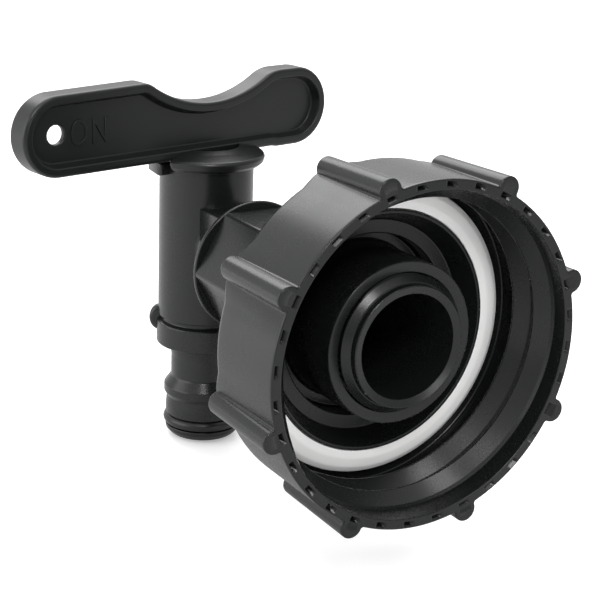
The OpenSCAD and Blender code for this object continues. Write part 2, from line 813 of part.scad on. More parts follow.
cap();
sealing_washer();
tap_body();
inlet_seal();
spigot_ring();
lever();
plug_upper_ring();
plug_lower_ring();
port_seal();
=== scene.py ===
"""Dresses the container tap adapter: threaded cap, sealing washer, plug tap, spigot and lever.

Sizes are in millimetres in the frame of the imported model, and meshes are written in metres. The cap
axis is Y with the mouth towards -Y, and the barrel's axis is vertical, BARREL_Y behind the origin.
"""
import logging
import math
from dataclasses import dataclass, field
from enum import Enum
from typing import Any, Sequence

import bmesh
import bpy
import numpy as np
from mathutils import Matrix, Vector


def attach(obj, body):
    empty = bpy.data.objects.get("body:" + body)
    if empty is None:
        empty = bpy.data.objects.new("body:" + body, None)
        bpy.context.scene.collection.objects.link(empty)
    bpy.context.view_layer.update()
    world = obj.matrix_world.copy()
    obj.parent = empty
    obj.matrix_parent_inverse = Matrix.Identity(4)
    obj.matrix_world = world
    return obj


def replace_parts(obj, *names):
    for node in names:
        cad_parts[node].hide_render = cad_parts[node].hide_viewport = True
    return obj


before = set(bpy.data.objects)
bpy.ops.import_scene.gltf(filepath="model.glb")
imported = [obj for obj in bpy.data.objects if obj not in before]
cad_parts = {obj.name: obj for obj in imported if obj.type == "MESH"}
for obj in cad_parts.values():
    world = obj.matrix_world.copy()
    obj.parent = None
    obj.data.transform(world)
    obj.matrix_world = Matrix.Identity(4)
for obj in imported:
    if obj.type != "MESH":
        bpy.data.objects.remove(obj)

LOG = logging.getLogger("tap_adapter")
MM = 0.001
BARREL_Y = 67.5
TAP_BODY = "tap"
LEVER_BODY = "lever"
BLACK_SLOT = "black_plastic"
LEVER_SLOT = "lever_plastic"
RUBBER_SLOT = "black_rubber"
WASHER_SLOT = "white_washer"
FILLET_SHARE = 0.42     # longest share of a side that a fillet takes up
GUARD_SHARE = 0.07      # longest share of a side that a guard point takes up
SHORTEST_REACH = 1e-4   # a fillet that reaches less than this is left out
MERGE_METRES = 1e-7     # points nearer than this become one
Corner = tuple[float, float, float]


class Axis(Enum):
    """Axis that a turned part is made about."""

    CAP = "cap"
    BARREL = "barrel"


def polar(radius: np.ndarray, angle: np.ndarray, along: np.ndarray, axis: Axis) -> np.ndarray:
    """Points at a radius and angle about an axis.

    Formula: about the cap axis x = r cos t, y = along, z = r sin t. About the barrel's axis
    x = r cos t, y = BARREL_Y + r sin t, z = along.

    Args:
        radius: distances from the axis.
        angle: angles from +X in radians.
        along: places along the axis.
        axis: which axis.

    Returns:
        Array of points with a last dimension of three.
    """
    across, other = radius * np.cos(angle), radius * np.sin(angle)
    across, other, along = np.broadcast_arrays(across, other, along)
    if axis is Axis.CAP:
        return np.stack([across, along, other], axis=-1)
    return np.stack([across, other + BARREL_Y, along], axis=-1)


def full_turn(count: int) -> np.ndarray:
    """Evenly spaced angles round a full turn, as a column."""
    return np.linspace(0, 2 * math.pi, count, endpoint=False)[:, None]


def swept(section: np.ndarray, angle: np.ndarray, axis: Axis) -> np.ndarray:
    """Grid of a section of radii and places along, repeated at a column of angles."""
    return polar(section[None, :, 0], angle, section[None, :, 1], axis)


def rounded(corners: Sequence[Corner], closed: bool = True, steps: int = 5,
            guard: float = 0.06) -> np.ndarray:
    """Polyline through corners, each replaced by a round arc.

    Formula: at a corner the arc of radius f touches both sides at f tan(turn / 2) from the corner,
    cut short where a side is too short for it. A guard point just outside each arc keeps the
    shading of the flat sides flat.

    Args:
        corners: (across, along, fillet radius) of each corner.
        closed: whether the last corner joins the first.
        steps: points on each arc.
        guard: distance of the guard points from the arc's ends.

    Returns:
        Points of the polyline, two columns.
    """
    spots = np.array([c[:2] for c in corners], float)
    count = len(spots)
    out: list[np.ndarray] = []
    for i in range(count):
        if not closed and i in (0, count - 1):
            out.append(spots[i][None])
            continue
        before, here, after = spots[i - 1], spots[i], spots[(i + 1) % count]
        back, ahead = before - here, after - here
        len_back, len_ahead = np.linalg.norm(back), np.linalg.norm(ahead)
        back, ahead = back / len_back, ahead / len_ahead
        half = 0.5 * math.acos(float(np.clip(back @ ahead, -1, 1)))
        shortest = min(len_back, len_ahead)
        reach = min(corners[i][2] / max(math.tan(half), 1e-6), FILLET_SHARE * shortest)
        if reach < SHORTEST_REACH:
            out.append(here[None])
            continue
        radius = reach * math.tan(half)
        centre = here + (back + ahead) / np.linalg.norm(back + ahead) * (radius / math.sin(half))
        first, last = here + back * reach - centre, here + ahead * reach - centre
        turn = math.pi - 2 * half
        t = np.linspace(0, 1, steps)[:, None]
        arc = (np.sin((1 - t) * turn) * first + np.sin(t * turn) * last) / math.sin(turn) + centre
        gap = min(guard, GUARD_SHARE * shortest)
        out += [(here + back * (reach + gap))[None], arc, (here + ahead * (reach + gap))[None]]
    return np.concatenate(out)


@dataclass
class Shell:
    """Surface as points in millimetres and four-cornered faces.

    Args:
        points: array of shape (n, 3).
        faces: array of shape (m, 4).
    """

    points: np.ndarray
    faces: np.ndarray

    @classmethod
    def from_grid(cls, grid: np.ndarray, wrap_rows: bool = False,
                  wrap_columns: bool = True) -> "Shell":
        """Faces between neighbours of a grid of points, turned outwards.

        Args:
            grid: array of shape (rows, columns, 3).
            wrap_rows: whether the last row joins the first.
            wrap_columns: whether the last column joins the first.

        Returns:
            The surface.
        """
        rows, columns = grid.shape[:2]
        i = np.arange(rows if wrap_rows else rows - 1)[:, None]
        j = np.arange(columns if wrap_columns else columns - 1)[None]
        i2, j2 = (i + 1) % rows, (j + 1) % columns
        parts = [i * columns + j, i2 * columns + j, i2 * columns + j2, i * columns + j2]
        faces = np.stack(np.broadcast_arrays(*parts), axis=-1).reshape(-1, 4)
        return cls(grid.reshape(-1, 3).astype(float), faces).outward()

    def outward(self) -> "Shell":
        """The same surface with its faces turned outwards.

        Formula: the volume is a sixth of the sum of a . (b x c) over the triangles. Where it is
        negative the faces point inwards, and their corners are reversed.

        Returns:
            The surface.
        """
        a, b, c, d = (self.points[self.faces[:, k]] for k in range(4))
        volume = np.sum(a * np.cross(b, c)) + np.sum(a * np.cross(c, d))
        return self if volume > 0 else Shell(self.points, self.faces[:, ::-1])

    def __add__(self, other: "Shell") -> "Shell":
        """Both surfaces in one."""
        return Shell(
            np.concatenate([self.points, other.points]),
            np.concatenate([self.faces, other.faces + len(self.points)]),
        )

    def turned(self, angle: float) -> "Shell":
        """The surface turned about the barrel's axis.

        Args:
            angle: angle in degrees.

        Returns:
            The turned surface.
        """
        c, s = math.cos(math.radians(angle)), math.sin(math.radians(angle))
        spot = self.points - (0, BARREL_Y, 0)
        spun = spot @ np.array([[c, s, 0], [-s, c, 0], [0, 0, 1]])
        return Shell(spun + (0, BARREL_Y, 0), self.faces)

    def piece(self, name: str, body: str, slot: str, finish: bpy.types.Material,
              patched: bool = False) -> bpy.types.Object:
        """Makes a Blender object of the surface, riding on a body.

        Args:
            name: the piece's name.
            body: name of the body that it rides on.
            slot: material slot of the record; not used.
            finish: Blender material.
            patched: whether it is sewn from patches, whose faces are then turned outwards together.

        Returns:
            The object, at the origin, with its place in its mesh.
        """
        mesh = bpy.data.meshes.new(name)
        mesh.from_pydata((self.points * MM).tolist(), [], self.faces.tolist())
        work = bmesh.new()
        work.from_mesh(mesh)
        bmesh.ops.remove_doubles(work, verts=work.verts, dist=MERGE_METRES)
        bmesh.ops.dissolve_degenerate(work, edges=work.edges, dist=MERGE_METRES / 10)
        if patched:
            bmesh.ops.recalc_face_normals(work, faces=work.faces)
        work.to_mesh(mesh)
        work.free()
        mesh.polygons.foreach_set("use_smooth", np.ones(len(mesh.polygons), bool))
        mesh.materials.append(finish)
        piece = bpy.data.objects.new(name, mesh)
        bpy.context.scene.collection.objects.link(piece)
        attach(piece, body)
        LOG.info("%s: %d faces on %s", name, len(mesh.polygons), body)
        return piece


def revolve(profile: np.ndarray, axis: Axis, count: int = 192) -> Shell:
    """Closed profile turned fully about an axis.

    Formula: the point at profile place (r, a) and angle t is r cos t, r sin t across and a along.

    Args:
        profile: closed polyline, radius and place along the axis.
        axis: which axis.
        count: number of steps round.

    Returns:
        Closed surface.
    """
    return Shell.from_grid(swept(profile, full_turn(count), axis), True, True)


def capped(grid: np.ndarray, inset: float = 0.1) -> np.ndarray:
    """Grid whose rows are closed rings, with both ends closed by shrinking rings.

    Formula: each end ring is repeated as a blend towards its own middle, by inset and then by one.

    Args:
        grid: array of shape (rows, columns, 3).
        inset: share by which the first added ring shrinks.

    Returns:
        Grid with two more rows at each end.
    """
    def lid(ring: np.ndarray) -> list[np.ndarray]:
        """The shrunken ring and the ring's middle."""
        middle = ring.mean(axis=0)
        return [(ring + (middle - ring) * inset)[None], np.broadcast_to(middle, ring.shape)[None]]

    start, end = lid(grid[0]), lid(grid[-1])
    return np.concatenate([start[1], start[0], grid, end[0], end[1]])


def block(half: Sequence[float], radius: float, steps: int = 4) -> np.ndarray:
    """Box with round edges about the origin, as a grid that closes on itself.

    Formula: a point is sign(n) (half - radius) + radius n, where n runs over the unit sphere in
    rings, with each ring's sides repeated where the sign changes.

    Args:
        half: half sizes along the three axes.
        radius: radius of the edges.
        steps: points on each quarter turn.

    Returns:
        Grid of shape (rows, columns, 3).
    """
    tiny = 1e-4
    quarter = np.linspace(tiny, math.pi / 2 - tiny, steps)
    lift = np.concatenate([[-math.pi / 2], quarter - math.pi / 2, quarter, [math.pi / 2]])[:, None]
    turn = np.concatenate([quarter + k * math.pi / 2 for k in range(4)])[None]
    normal = np.stack(np.broadcast_arrays(
        np.cos(lift) * np.cos(turn), np.cos(lift) * np.sin(turn), np.sin(lift)), axis=-1)
    inner = np.asarray(half, float) - radius
    grid = np.sign(np.round(normal, 9)) * inner + radius * normal
    grid[0], grid[-1] = (0, 0, -half[2]), (0, 0, half[2])
    return grid


class Value:
    """A number that varies over the surface: an output socket whose operators add Math nodes."""

    def __init__(self, graph: "Graph", socket: bpy.types.NodeSocket) -> None:
        """Keeps its graph and its socket."""
        self.graph = graph
        self.socket = socket

    def _math(self, operation: str, *values: Any) -> "Value":
        """One Math node of this operation over the values."""
        return self.graph.node("ShaderNodeMath", {"operation": operation}, dict(enumerate(values)))

    def __add__(self, other: Any) -> "Value":
        """Sum."""
        return self._math("ADD", self, other)

    __radd__ = __add__

    def __sub__(self, other: Any) -> "Value":
        """Difference."""
        return self._math("SUBTRACT", self, other)

    def __rsub__(self, other: Any) -> "Value":
        """Difference, with this value taken away."""
        return self._math("SUBTRACT", other, self)

    def __mul__(self, other: Any) -> "Value":
        """Product."""
        return self._math("MULTIPLY", self, other)

    __rmul__ = __mul__

    def __lt__(self, other: float) -> "Value":
        """One where this value is less, else nought."""
        return self._math("LESS_THAN", self, other)

    def rise(self, low: float, high: float) -> "Value":
        """Smooth step from nought at low to one at high."""
        settings = {"interpolation_type": "SMOOTHSTEP"}
        return self.graph.node("ShaderNodeMapRange", settings, {0: self, 1: low, 2: high})

    def clipped(self) -> "Value":
        """The value kept between nought and one."""
        return self.graph.node("ShaderNodeClamp", {}, {0: self})


class Graph:
    """Node tree of a material or a world."""

    def __init__(self, owner: bpy.types.ID) -> None:
        """Starts the owner's tree with no nodes."""
        self.owner = owner
        owner.use_nodes = True
        self.tree = owner.node_tree
        self.tree.nodes.clear()

    def node(self, kind: str, settings: dict[str, Any], sockets: dict[Any, Any],
             output: Any = 0) -> Value:
        """Adds one node.

        Args:
            kind: the node's type.
            settings: properties set before the sockets.
            sockets: numbers, colours or values of its inputs, by index or name.
            output: index or name of the output to return.

        Returns:
            The output as a value.
        """
        node = self.tree.nodes.new(kind)
        for key, setting in settings.items():
            setattr(node, key, setting)
        for key, given in sockets.items():
            if isinstance(given, Value):
                self.tree.links.new(given.socket, node.inputs[key])
            else:
                node.inputs[key].default_value = given
        return Value(self, node.outputs[output])

    def noise(self, place: Value, scale: float, rough: float = 0.5) -> Value:
        """Noise of nought to one at a place, with scale in cycles a metre."""
        sockets = {"Vector": place, "Scale": scale, "Detail": 3.0, "Roughness": rough}
        return self.node("ShaderNodeTexNoise", {}, sockets)

    def place(self, kind: str) -> Value:
        """Coordinates of this kind."""
        return self.node("ShaderNodeTexCoord", {}, {}, kind)

    def ray(self, kind: str) -> Value:
        """One on rays of this kind, else nought."""
        return self.node("ShaderNodeLightPath", {}, {}, f"Is {kind} Ray")

    def mix(self, share: Value, first: Any, second: Any) -> Value:
        """Colour between the first and the second, by a share of nought to one."""
        return self.node("ShaderNodeMix", {"data_type": "RGBA"}, {0: share, 6: first, 7: second}, 2)

    def finish(self, surface: Value, output: str = "ShaderNodeOutputMaterial") -> Any:
        """Joins the surface to the tree's output.

        Args:
            surface: shader of the surface.
            output: type of the output node.

        Returns:
            The tree's owner.
        """
        out = self.tree.nodes.new(output)
        self.tree.links.new(surface.socket, out.inputs["Surface"])
        return self.owner


@dataclass(frozen=True)
class MouldedPlastic:
    """Finish of a moulded plastic or rubber surface.

    Args:
        name: material name.
        color: base colour, linear.
        roughness: mean roughness.
        grain: height of the fine grain in millimetres.
        grain_scale: cycles of the grain a metre.
        flow: how much the roughness drifts over larger patches.
        dust: share of tiny pale specks, nought for none.
        patch_scale: cycles of the larger patches a metre.
        tone_swing: how far the patches carry the colour from its dark end to its pale one.
        tones: dark and pale end, as shares of the base colour.
        speck_scale: cells of the specks a metre.
        speck_edge: where a speck begins and ends to fade, as shares of its cell.
        speck_color: colour of the specks, linear.
    """

    name: str
    color: tuple[float, float, float]
    roughness: float = 0.35
    grain: float = 0.006
    grain_scale: float = 2600.0
    flow: float = 0.06
    dust: float = 0.0
    patch_scale: float = 90.0
    tone_swing: float = 0.35
    tones: tuple[float, float] = (0.82, 1.12)
    speck_scale: float = 330.0
    speck_edge: tuple[float, float] = (0.05, 0.11)
    speck_color: tuple[float, float, float, float] = (0.35, 0.36, 0.36, 1.0)

    def material(self) -> bpy.types.Material:
        """Builds the material.

        Formula: roughness is the mean plus slow and fine noise. The base colour lifts a little with
        the slow noise and at the dust specks, which are small spots round a few random points.

        Returns:
            The Blender material.
        """
        graph = Graph(bpy.data.materials.new(self.name))
        place = graph.place("Object")
        fine = graph.noise(place, self.grain_scale, 0.6)
        drift = graph.noise(place, self.patch_scale) - 0.5
        rough = (drift * (2 * self.flow) + (fine - 0.5) * 0.06 + self.roughness).clipped()
        lift = (drift * self.tone_swing + 1.0).clipped()
        dark, pale = (tuple(tone * c for c in self.color) + (1.0,) for tone in self.tones)
        color = graph.mix(lift, dark, pale)
        if self.dust > 0:
            cells = {"Vector": place, "Scale": self.speck_scale, "Randomness": 1.0}
            near = graph.node("ShaderNodeTexVoronoi", {}, cells, "Distance")
            tint = graph.node("ShaderNodeTexVoronoi", {}, cells, "Color")
            pick = graph.node("ShaderNodeSeparateColor", {}, {0: tint}) < self.dust
            color = graph.mix(pick * (1.0 - near.rise(*self.speck_edge)), color, self.speck_color)
        bump = graph.node("ShaderNodeBump", {}, {
            "Strength": 1.0, "Distance": self.grain * MM, "Height": fine}, "Normal")
        surface = graph.node("ShaderNodeBsdfPrincipled", {}, {
            "Base Color": color, "Roughness": rough, "Normal": bump}, "BSDF")
        return graph.finish(surface)


@dataclass
class Finishes:
    """All the finishes, built once."""

    body: bpy.types.Material = field(init=False)
    lever: bpy.types.Material = field(init=False)
    rubber: bpy.types.Material = field(init=False)
    washer: bpy.types.Material = field(init=False)

    def __post_init__(self) -> None:
        """Builds every material."""
        black, rubber, white = (0.0072, 0.0081, 0.0079), (0.008, 0.008, 0.008), (0.85, 0.85, 0.84)
        self.body = MouldedPlastic(BLACK_SLOT, black, 0.27, dust=0.012).material()
        self.lever = MouldedPlastic(LEVER_SLOT, black, 0.33, grain=0.01, dust=0.016).material()
        self.rubber = MouldedPlastic(RUBBER_SLOT, rubber, 0.3, grain=0.003).material()
        self.washer = MouldedPlastic(WASHER_SLOT, white, 0.5, grain=0.003).material()


@dataclass
class Cap:
    """Screw cap: body with grip lugs and rim pockets, and its coarse thread.

    The fields are sizes in millimetres and degrees. A name that ends in y is a place along the
    axis, and a radius is measured from it.
    """

    radius: float = 32.2
    draft: float = 0.3
    mouth: float = 30.25
    rim_y: float = -16.2
    seat_y: float = 2.5
    back_y: float = 4.5
    boss_bore: float = 13.05
    boss: float = 15.27
    boss_y: float = -7.0
    boss_back_y: float = 10.0
    well: float = 17.5
    well_y: float = 9.1
    web_y: float = 4.3
    lip: float = 23.0
    lip_y: float = -0.3
    rear: float = 29.3
    rear_step: float = 23.3
    rear_step_y: float = 6.3
    hub: float = 19.4
    lug_count: int = 8
    lug_radius: float = 2.25
    lug_circle: float = 32.7
    lug_angle: float = 18.0
    lug_lean: float = 0.5
    lug_rounding: float = 0.45
    lug_fade: float = 6.0
    web_radius: float = 0.5
    pockets_per_lug: int = 4
    pocket_inner: float = 30.8
    pocket_outer: float = 31.8
    pocket_length: float = 2.2
    pocket_depth: float = 3.0
    rim_edge: float = 0.3
    rear_rounding: float = 2.0
    pitch: float = 6.0
    thread_height: float = 2.4
    crest_flat: float = 0.3
    front_flank: float = 50.0
    rear_flank: float = 3.0
    thread_start: float = 3.55
    mouth_angle: float = 215.0
    mouth_fade: float = 30.0
    inner_angle: float = -521.0
    inner_fade: float = 45.0

    def web_centre(self) -> complex:
        """Centre of the hollow arc that touches the tube and a lug at angle nought.

        Formula: the cosine rule in the triangle of the axis, the lug's centre and this centre.

        Returns:
            The centre as a complex number.
        """
        far, near = self.radius + self.web_radius, self.lug_radius + self.web_radius
        cosine = (self.lug_circle**2 + far**2 - near**2) / (2 * self.lug_circle * far)
        return complex(far * np.exp(1j * math.acos(cosine)))

    def pocket_step(self) -> float:
        """Angle in degrees from one rim pocket to the next."""
        return 360 / self.lug_count / self.pockets_per_lug

    def pocket_half(self) -> float:
        """Half of the angle in degrees that a rim pocket takes up."""
        return math.degrees(self.pocket_length / (self.pocket_inner + self.pocket_outer))

    def outline(self) -> tuple[np.ndarray, np.ndarray, np.ndarray]:
        """Half outline of the tube with one lug, from the lug's middle to half way to the next.

        Formula: an arc of the lug, a hollow arc that touches lug and tube, then the tube. The
        hollow arc's centre is tube radius + web radius from the axis and lug radius + web radius
        from the lug's centre. Columns stand close together at the sides of the rim pockets.

        Returns:
            Angle in degrees of each column at the bore, and outline points and outward normals as
            complex numbers.
        """
        web = self.web_centre()
        web_angle, meet = np.angle(web), np.angle(web - self.lug_circle)
        lug_normal = np.exp(1j * np.linspace(0, meet, 60))
        web_normal = -np.exp(1j * np.linspace(meet + math.pi, web_angle + math.pi, 40))
        points = np.concatenate([
            self.lug_circle + self.lug_radius * lug_normal, web - self.web_radius * web_normal])
        normals = np.concatenate([lug_normal, web_normal])
        run = np.concatenate([[0], np.cumsum(np.abs(np.diff(points)))])
        web_end, middle = math.degrees(web_angle), 180 / self.lug_count
        edge = 0.05
        pocket_edges = [k * self.pocket_step() + side * self.pocket_half() + shift
                        for k in range(3) for side in (-1, 1) for shift in (-edge, edge)]
        angles = np.concatenate([
            np.linspace(0, web_end, 25), np.linspace(web_end, middle, 15), pocket_edges])
        angles = np.unique(np.round(angles[(angles >= 0) & (angles <= middle)], 5))
        at = np.clip(angles / web_end, 0, 1) * run[-1]
        spot = np.interp(at, run, points.real) + 1j * np.interp(at, run, points.imag)
        normal = np.interp(at, run, normals.real) + 1j * np.interp(at, run, normals.imag)
        on_tube = angles > web_end
        ray = np.exp(1j * np.radians(angles))
        spot = np.where(on_tube, self.radius * ray, spot)
        return angles, spot, np.where(on_tube, ray, normal / np.abs(normal))

    def columns(self) -> tuple[np.ndarray, np.ndarray, np.ndarray, np.ndarray]:
        """Columns of the whole cap: the half outline mirrored and repeated for every lug.

        Returns:
            Bore angles in radians, outline points and normals as complex numbers, and a flag of
            one inside a rim pocket, each as a column.
        """
        angles, spot, normal = self.outline()
        both = np.concatenate([-angles[:0:-1], angles[:-1]])
        spots = np.concatenate([spot[:0:-1].conj(), spot[:-1]])
        normals = np.concatenate([normal[:0:-1].conj(), normal[:-1]])
        step = self.pocket_step()
        inside = np.abs((both + step / 2) % step - step / 2) < self.pocket_half()
        turns = full_turn(self.lug_count) + math.radians(self.lug_angle)
        spin = np.exp(1j * turns)
        parts = (turns + np.radians(both), spots * spin, normals * spin, inside + 0.0 * turns)
        return tuple(part.reshape(-1, 1) for part in parts)

    def inner_profile(self) -> np.ndarray:
        """Open profile from the boss's rear, through the well and the thread wall, to the rim."""
        return rounded([
            (self.boss_bore, self.boss_back_y, 0), (self.boss_bore, self.boss_y + 0.45, 0.1),
            (self.boss_bore + 0.2, self.boss_y + 0.25, 0.1), (self.boss, self.boss_y, 0.25),
            (self.boss, self.well_y, 0.4), (self.well, self.well_y, 0.4),
            (self.well, self.web_y, 0.25), (20.2, self.web_y, 0.3),
            (self.lip - 0.7, self.lip_y, 0.25), (self.lip, self.lip_y, 0.25),
            (self.lip, self.seat_y, 0.2), (self.mouth, self.seat_y, 0.5),
            (self.mouth, self.rim_y, 0.2), (self.pocket_inner - 0.1, self.rim_y, 0)],
            closed=False, steps=4)

    def rear_profile(self) -> np.ndarray:
        """Open profile of the stepped rear face, from the tube inwards to the boss's rear."""
        return rounded([
            (self.rear, self.back_y, 0), (self.rear_step, self.back_y, 0.4),
            (self.rear_step, self.rear_step_y, 0.5), (self.hub, self.rear_step_y, 0.4),
            (self.hub, self.boss_back_y, 0.5), (self.boss_bore + 0.15, self.boss_back_y, 0)],
            closed=False, steps=4)

    def outside(self, angle: np.ndarray, spot: np.ndarray, normal: np.ndarray) -> np.ndarray:
        """Outside of the cap, from the rim's edge to the rear face.

        Formula: the outline is moved inwards along its normal, by a quarter circle at the front
        edge, by the draft along the wall, and by a quarter circle at the rear edge, whose radius
        shrinks beside each lug. The lugs lean inwards towards the rear. Last comes the rear face.

        Args:
            angle: bore angle of each column in radians.
            spot: outline points as complex numbers.
            normal: outward normals as complex numbers.

        Returns:
            Grid of shape (columns, rows, 3).
        """
        on_lug = (np.abs(spot) - self.radius) / (self.lug_circle + self.lug_radius - self.radius)
        on_lug = np.clip(on_lug * 5, 0, 1)
        step = 360 / self.lug_count
        off = np.abs((np.degrees(angle) - self.lug_angle + step / 2) % step - step / 2)
        web_end = math.degrees(np.angle(self.web_centre()))
        beside = np.clip((web_end + self.lug_fade - off) / self.lug_fade, 0, 1)
        turn = self.rear_rounding + (self.lug_rounding - self.rear_rounding) * beside
        draft = self.draft * (1 - beside)

        bend = np.linspace(0, math.pi / 2, 6)[None]
        front_in = self.rim_edge * (1 - np.sin(bend)) + 0 * angle
        front_y = self.rim_y + self.rim_edge * (1 - np.cos(bend)) + 0 * angle
        share = np.linspace(0.03, 1, 8)[None]
        wall_start, wall_end = self.rim_y + self.rim_edge, self.back_y - turn
        wall_y = wall_start + share * (wall_end - wall_start)
        bend = np.linspace(0.12, math.pi / 2, 9)[None]
        rear_in, rear_y = draft + turn * (1 - np.cos(bend)), wall_end + turn * np.sin(bend)
        inward = np.concatenate([front_in, draft * share, rear_in], axis=1)
        along = np.concatenate([front_y, wall_y, rear_y], axis=1)
        lean = self.lug_lean * on_lug * (along - self.rim_y) / (self.back_y - self.rim_y)
        flat = spot - inward * normal - lean * (spot / np.abs(spot))

        last = flat[:, -1:]
        face = last + (self.rear * np.exp(1j * angle) - last) * np.array([0.05, 0.35, 0.7])[None]
        flat = np.concatenate([flat, face], axis=1)
        along = np.concatenate([along, np.full(face.shape, self.back_y)], axis=1)
        return np.stack([flat.real, along, flat.imag], axis=-1)

    def shell(self) -> Shell:
        """Body of the cap as one closed grid.

        Formula: rows go round the cap. Along a row the inner profile comes first, then the rim with
        its pockets pushed back by their depth, then the outside, then the rear profile, which meets
        the start.

        Returns:
            Closed surface.
        """
        angle, spot, normal, inside = self.columns()
        tiny = 0.03
        rim_r = np.array([self.pocket_inner - tiny, self.pocket_inner + tiny,
                          self.pocket_outer - tiny, self.pocket_outer + tiny])[None]
        sunk = np.array([0, 1, 1, 0])[None] * inside * self.pocket_depth
        grid = np.concatenate([
            swept(self.inner_profile(), angle, Axis.CAP),
            polar(rim_r, angle, self.rim_y + sunk, Axis.CAP),
            self.outside(angle, spot, normal),
            swept(self.rear_profile(), angle, Axis.CAP)], axis=1)
        return Shell.from_grid(grid, True, True)

    def thread(self) -> Shell:
        """Coarse thread as a saw-tooth ridge carried along a right-hand helix.

        Formula: at angle t the ridge's front foot lies at rim + start - pitch t / 360 along the
        axis. The section is a height above the wall and a place behind the foot. The height fades
        towards both ends, and nothing reaches in front of the rim.

        Returns:
            Closed surface.
        """
        sunk, height = 0.25, self.thread_height
        top = height * math.tan(math.radians(self.front_flank))
        back = top + self.crest_flat
        heel = back + height * math.tan(math.radians(self.rear_flank))
        section = rounded([
            (-sunk, -0.9, 0.05), (-0.02, -0.5, 0.1), (0.35, 0.2, 0.6), (height, top, 0.3),
            (height, back, 0.25), (0.25, heel, 0.25), (-0.02, heel + 0.3, 0.1),
            (-sunk, back + 0.9, 0.05)])[None]
        angle = np.linspace(self.mouth_angle, self.inner_angle, 360)[:, None]
        to_end = np.minimum((angle - self.inner_angle) / self.inner_fade,
                            (self.mouth_angle - angle) / self.mouth_fade)
        fade = np.clip(to_end, 0.06, 1) ** 0.7
        lift = section[..., 0] * np.where(section[..., 0] > 0, fade, 1)
        foot = self.rim_y + self.thread_start - self.pitch * angle / 360
        along = foot + section[..., 1] * np.minimum(1, 0.3 + 0.7 * fade)
        along = np.maximum(along, self.rim_y + 0.03)
        grid = polar(self.mouth - lift, np.radians(angle), along, Axis.CAP)
        return Shell.from_grid(capped(grid), False, True)

    def build(self, finishes: Finishes) -> None:
        """Makes the cap's pieces.

        Args:
            finishes: all the finishes.
        """
        body = self.shell().piece("cap_shell", TAP_BODY, BLACK_SLOT, finishes.body)
        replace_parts(body, "cap")
        self.thread().piece("cap_thread", TAP_BODY, BLACK_SLOT, finishes.body)


@dataclass
class Washer:
    """White sealing washer in the cap. The fields are sizes in millimetres."""

    inner: float = 23.15
    outer: float = 27.7
    thickness: float = 2.5
    edge: float = 0.25
    crown: float = 1.1

    def build(self, finishes: Finishes) -> None:
        """Makes the washer, a turned section whose face falls away towards the outer edge.

        Args:
            finishes: all the finishes.
        """
        width = self.outer - self.inner
        profile = rounded([
            (self.inner, 0.05, self.edge), (self.inner + 0.35 * width, 0, 2.0),
            (self.outer - 0.25 * width, 0.35 * self.crown, 1.5), (self.outer, self.crown, 0.4),
            (self.outer, self.thickness, self.edge), (self.inner, self.thickness, self.edge)])
        ring = revolve(profile, Axis.CAP, 256)
        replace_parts(ring.piece("washer", TAP_BODY, WASHER_SLOT, finishes.washer), "sealing_washer")


